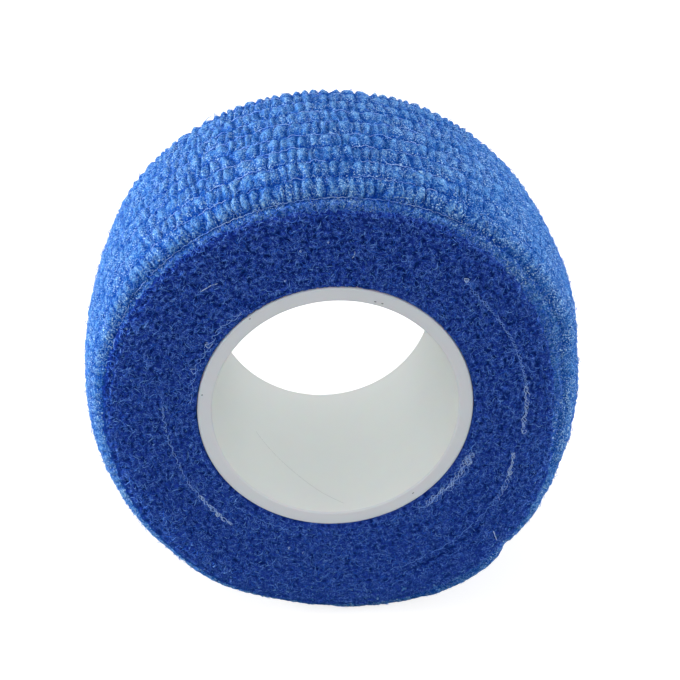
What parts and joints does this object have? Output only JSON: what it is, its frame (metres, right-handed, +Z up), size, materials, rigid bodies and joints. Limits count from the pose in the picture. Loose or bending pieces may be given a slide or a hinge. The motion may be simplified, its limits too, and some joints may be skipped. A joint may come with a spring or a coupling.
{
  "type": "cohesive bandage roll",
  "caption": "Blue cohesive crepe bandage wound on a white plastic core, with gathered ribs between elastic threads, soft rims and its cut end pressed down",
  "frame": {"origin": "middle of the roll's outer box, on the surface that the roll stands on", "axes": "+Y along the core's axis from the front face to the back face, +Z up, +X to the right as seen from the front"},
  "size_m": [0.0544, 0.0254, 0.0547],
  "materials": {
    "core_plastic": "smooth satin white plastic",
    "crepe_cloth": "dry fuzzy crepe cloth, gathered between elastic threads"
  },
  "bodies": {
    "root": {"core": "core_plastic", "bandage": "crepe_cloth"}
  },
  "joints": []
}
